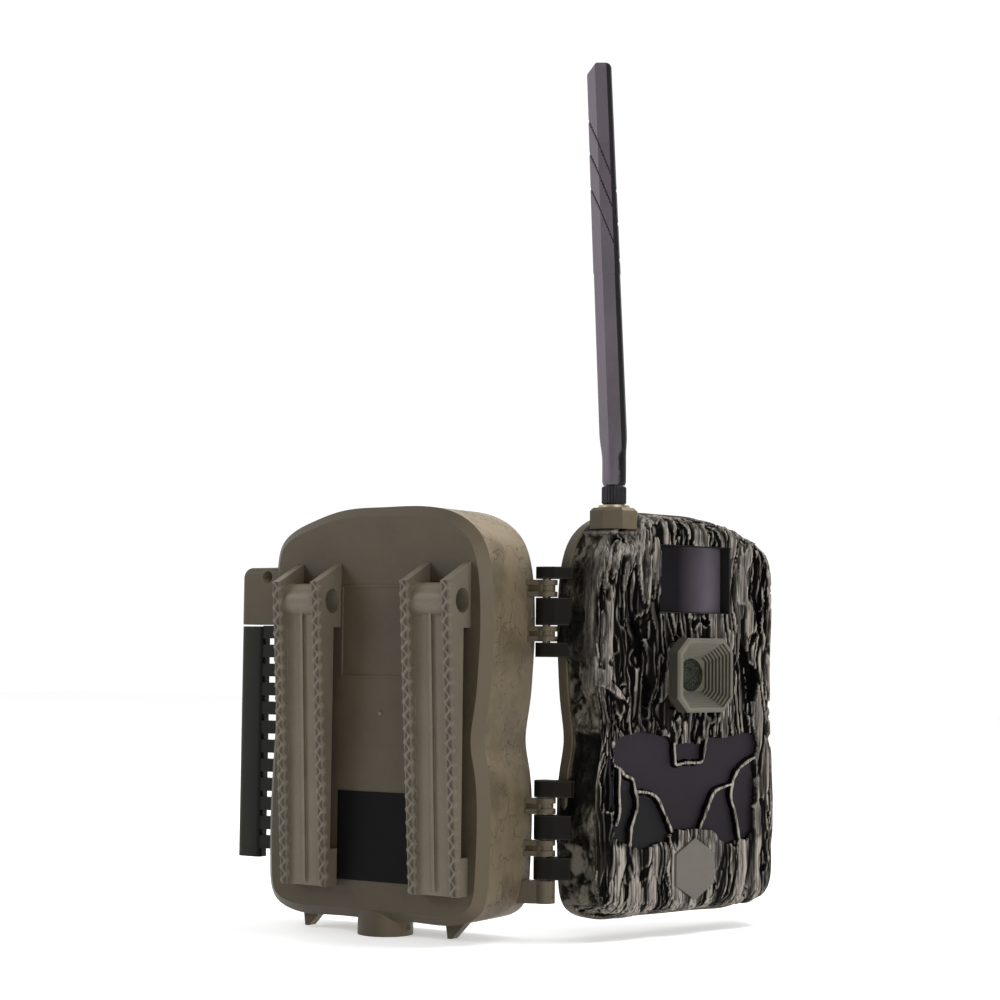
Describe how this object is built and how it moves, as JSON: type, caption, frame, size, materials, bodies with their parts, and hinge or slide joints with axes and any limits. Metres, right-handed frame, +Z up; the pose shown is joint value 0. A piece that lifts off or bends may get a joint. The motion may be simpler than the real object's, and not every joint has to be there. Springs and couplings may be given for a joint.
{
  "type": "trail camera",
  "caption": "Clamshell trail camera standing open on its side hinge, bark-relief front with sensor, lens and infrared windows, whip antenna, strap brackets behind.",
  "frame": {"origin": "centre of the tripod thread's mouth under the rear housing", "axes": "+Z up along the tripod thread, -Y out of the rear housing's back face towards the tree, +X towards the hinge side; the front half stands open"},
  "size_m": [0.1836, 0.1476, 0.326],
  "materials": {
    "body_plastic": "moulded grey-brown plastic with a fine matte grain",
    "lug_plastic": "dark moulded plastic of the front half's hinge lugs",
    "bark_plastic": "moulded bark relief, taupe ridges and near-black crevices",
    "bracket_plastic": "moulded grey-brown plastic, edges slightly worn",
    "latch_plastic": "dark olive moulded plastic",
    "hood_plastic": "warm taupe moulded plastic",
    "badge_plastic": "blank low-relief plate",
    "antenna_plastic": "dark purple-grey moulded sleeve",
    "nut_plastic": "knurled dark collar",
    "black_plastic": "fine-grained black plastic",
    "panel_plastic": "fine-grained dark grey plastic",
    "button_rubber": "soft matte key cap",
    "seal_rubber": "foam rubber cord",
    "smoked_window": "smoked dark purple window",
    "pir_window": "smoked milky purple window",
    "clear_window": "clear window",
    "lens_glass": "coated lens",
    "steel": "bright steel",
    "brass": "machined brass",
    "contact_metal": "nickel-plated strip",
    "label_vinyl": "blank black vinyl label",
    "board_green": "solder-masked circuit board",
    "chip_black": "moulded chip package",
    "led_clear": "clear moulded diode",
    "cell_jacket": "plain battery jacket",
    "card_plastic": "plain memory card",
    "screen": "display module"
  },
  "bodies": {
    "rear_half": {"rear_housing": "body_plastic", "rear_hinge_lugs": "body_plastic", "latch_lugs": "body_plastic", "lock_tab": "body_plastic", "bay_rails": "body_plastic", "mount_bracket_left": "bracket_plastic", "mount_bracket_right": "bracket_plastic", "bracket_screws": "steel", "tripod_insert": "brass", "rating_label": "label_vinyl", "gasket_seal": "seal_rubber", "hinge_pin_upper": "steel", "hinge_pin_lower": "steel", "latch_pin": "steel", "bay_contacts": "contact_metal"},
    "latch": {"latch_lever": "latch_plastic"},
    "battery_tray": {"battery_tray": "black_plastic", "battery_cells": "cell_jacket", "cell_springs": "contact_metal", "cell_contacts": "contact_metal"},
    "front_half": {"front_frame": "body_plastic", "front_hinge_lugs": "lug_plastic", "front_shell": "bark_plastic", "inner_panel": "panel_plastic", "panel_screws": "steel", "lcd_window": "clear_window", "lcd_module": "screen", "main_board": "board_green", "board_chips": "chip_black", "cell_modem": "contact_metal", "button_switches": "contact_metal", "switch_body": "black_plastic", "card_socket": "black_plastic", "lens_hood": "hood_plastic", "lens_window": "clear_window", "lens_barrel": "black_plastic", "lens_element": "lens_glass", "image_sensor": "chip_black", "pir_window": "pir_window", "pir_board": "board_green", "pir_sensor": "steel", "ir_window": "smoked_window", "ir_led_board": "board_green", "ir_leds": "led_clear", "badge_plate": "badge_plastic", "status_light": "led_clear", "microphone": "black_plastic", "antenna_mount": "body_plastic", "sma_jack": "brass", "jack_washer": "brass", "antenna_pigtail": "black_plastic"},
    "antenna_nut": {"antenna_nut": "nut_plastic"},
    "antenna": {"antenna_blade": "antenna_plastic"},
    "power_switch": {"power_switch": "black_plastic"},
    "memory_card": {"memory_card": "card_plastic"},
    "button_up": {"button_up": "button_rubber"},
    "button_down": {"button_down": "button_rubber"},
    "button_left": {"button_left": "button_rubber"},
    "button_right": {"button_right": "button_rubber"},
    "button_ok": {"button_ok": "button_rubber"}
  },
  "joints": [
    {"name": "front_hinge", "type": "hinge", "parent": "rear_half", "child": "front_half", "pos_m": [0.055, 0.0215, 0.076], "axis": [0, 0, -1], "range_deg": [-109, 66]},
    {"name": "latch_pivot", "type": "hinge", "parent": "rear_half", "child": "latch", "pos_m": [-0.054, 0.0107, 0.068], "axis": [0, 0, 1], "range_deg": [-90, 25]},
    {"name": "battery_tray_slide", "type": "slide", "parent": "rear_half", "child": "battery_tray", "axis": [0, 1, 0], "range_m": [0, 0.028]},
    {"name": "card_slide", "type": "slide", "parent": "front_half", "child": "memory_card", "axis": [0, 0, 1], "range_m": [0, 0.03]},
    {"name": "power_switch_slide", "type": "slide", "parent": "front_half", "child": "power_switch", "axis": [0, 0, 1], "range_m": [0, 0.0084]},
    {"name": "antenna_nut_spin", "type": "hinge", "parent": "front_half", "child": "antenna_nut", "pos_m": [0.07395, 0.03782, 0.162], "axis": [0, 0, 1], "continuous": true},
    {"name": "antenna_swivel", "type": "hinge", "parent": "front_half", "child": "antenna", "pos_m": [0.07395, 0.03782, 0.171], "axis": [0, 0, 1], "range_deg": [-180, 180]},
    {"name": "button_up_press", "type": "slide", "parent": "front_half", "child": "button_up", "axis": [0.9455, -0.3256, 0], "range_m": [0, 0.0008], "stiffness_N_per_m": 400},
    {"name": "button_down_press", "type": "slide", "parent": "front_half", "child": "button_down", "axis": [0.9455, -0.3256, 0], "range_m": [0, 0.0008], "stiffness_N_per_m": 400},
    {"name": "button_left_press", "type": "slide", "parent": "front_half", "child": "button_left", "axis": [0.9455, -0.3256, 0], "range_m": [0, 0.0008], "stiffness_N_per_m": 400},
    {"name": "button_right_press", "type": "slide", "parent": "front_half", "child": "button_right", "axis": [0.9455, -0.3256, 0], "range_m": [0, 0.0008], "stiffness_N_per_m": 400},
    {"name": "button_ok_press", "type": "slide", "parent": "front_half", "child": "button_ok", "axis": [0.9455, -0.3256, 0], "range_m": [0, 0.0008], "stiffness_N_per_m": 400}
  ]
}
